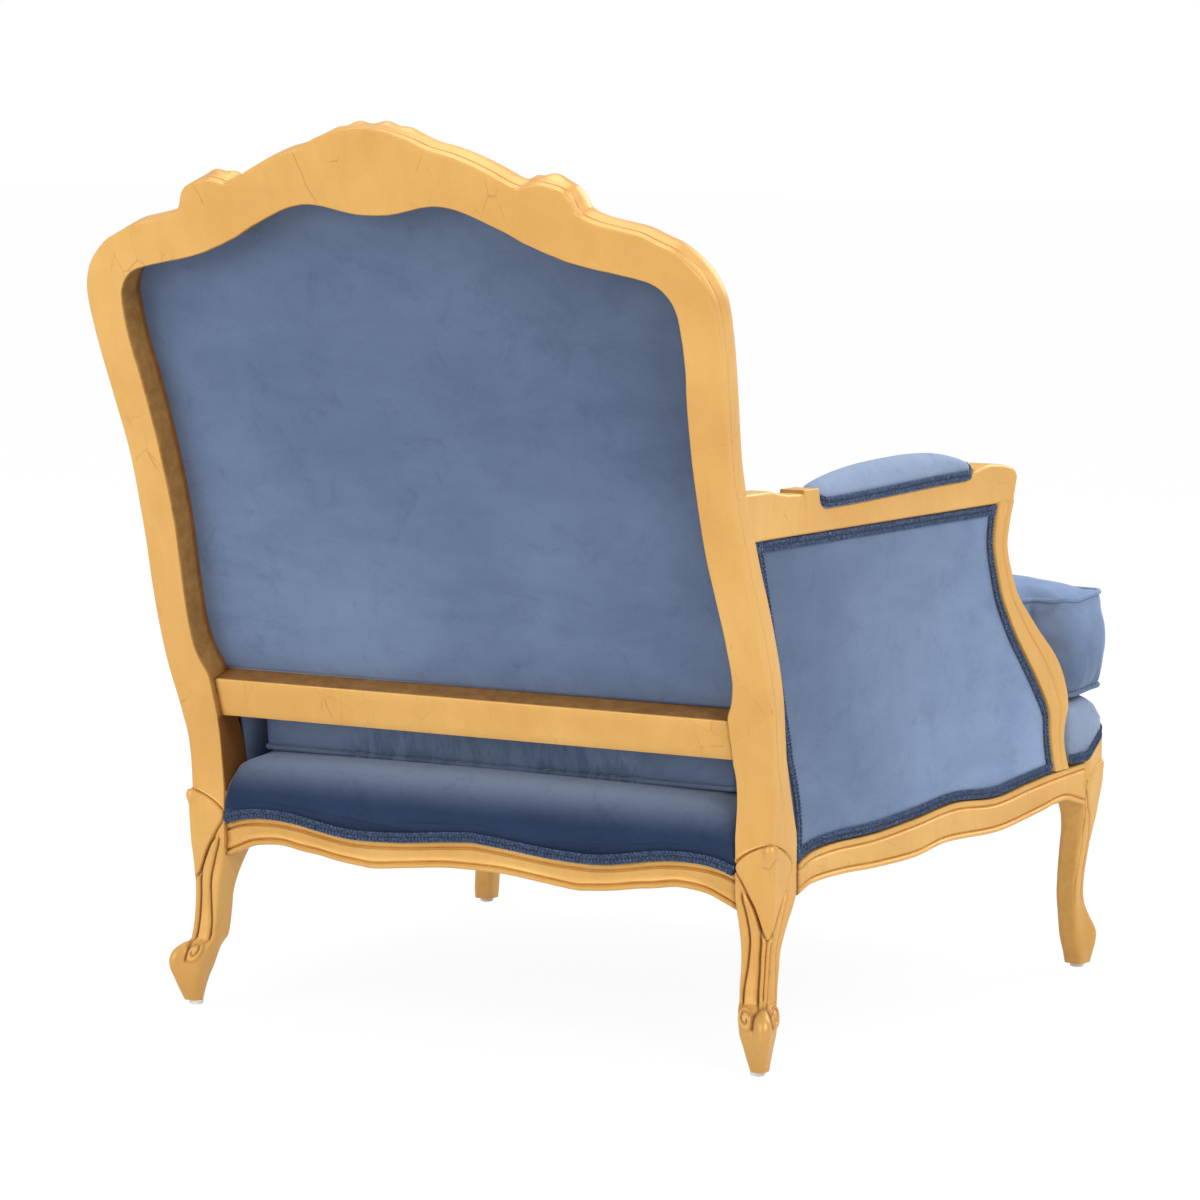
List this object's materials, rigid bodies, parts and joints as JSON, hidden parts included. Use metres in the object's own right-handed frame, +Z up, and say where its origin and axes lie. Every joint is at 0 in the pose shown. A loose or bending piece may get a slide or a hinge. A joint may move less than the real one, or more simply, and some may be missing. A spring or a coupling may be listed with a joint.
{
  "type": "bergere chair",
  "caption": "Upholstered bergere armchair with a carved gilt frame, closed velvet sides, padded back and arms, and a loose boxed seat cushion.",
  "frame": {"origin": "on the floor, under the middle of the chair's box", "axes": "+Z up, the chair faces -Y, +X to the sitter's left"},
  "size_m": [0.9188, 0.9992, 1.0428],
  "materials": {
    "gilt_wood": "gold leaf over carved beech",
    "bare_wood": "sawn",
    "velvet": "blue velvet pile",
    "gimp": "woven braid",
    "webbing": "woven jute",
    "cambric": "plain weave",
    "glide": "smooth"
  },
  "bodies": {
    "frame": {"rear_post_left": "gilt_wood", "rear_post_right": "gilt_wood", "crest_rail": "gilt_wood", "lower_back_rail": "gilt_wood", "rear_seat_rail": "gilt_wood", "front_seat_rail": "gilt_wood", "side_seat_rail_left": "gilt_wood", "front_leg_left": "gilt_wood", "arm_rail_left": "gilt_wood", "arm_support_left": "gilt_wood", "side_seat_rail_right": "gilt_wood", "front_leg_right": "gilt_wood", "arm_rail_right": "gilt_wood", "arm_support_right": "gilt_wood", "corner_block_rear_left": "bare_wood", "corner_block_front_left": "bare_wood", "corner_block_rear_right": "bare_wood", "corner_block_front_right": "bare_wood", "outer_back_panel": "velvet", "back_pad": "velvet", "seat_deck": "velvet", "outer_side_panel_left": "velvet", "inner_side_pad_left": "velvet", "arm_pad_left": "velvet", "outer_side_panel_right": "velvet", "inner_side_pad_right": "velvet", "arm_pad_right": "velvet", "gimp_back": "gimp", "gimp_seat_rear": "gimp", "gimp_seat_front": "gimp", "gimp_side_left": "gimp", "gimp_arm_left": "gimp", "gimp_side_right": "gimp", "gimp_arm_right": "gimp", "seat_web_lengthwise_1": "webbing", "seat_web_crosswise_1": "webbing", "seat_web_lengthwise_2": "webbing", "seat_web_crosswise_2": "webbing", "seat_web_lengthwise_3": "webbing", "seat_web_crosswise_3": "webbing", "seat_web_lengthwise_4": "webbing", "seat_web_crosswise_4": "webbing", "dust_cover": "cambric", "glide_rear_left": "glide", "glide_front_left": "glide", "glide_rear_right": "glide", "glide_front_right": "glide"},
    "cushion": {"seat_cushion": "velvet"}
  },
  "joints": [
    {"name": "cushion_lift", "type": "slide", "parent": "frame", "child": "cushion", "axis": [0, 0, 1], "range_m": [0, 0.4]}
  ]
}
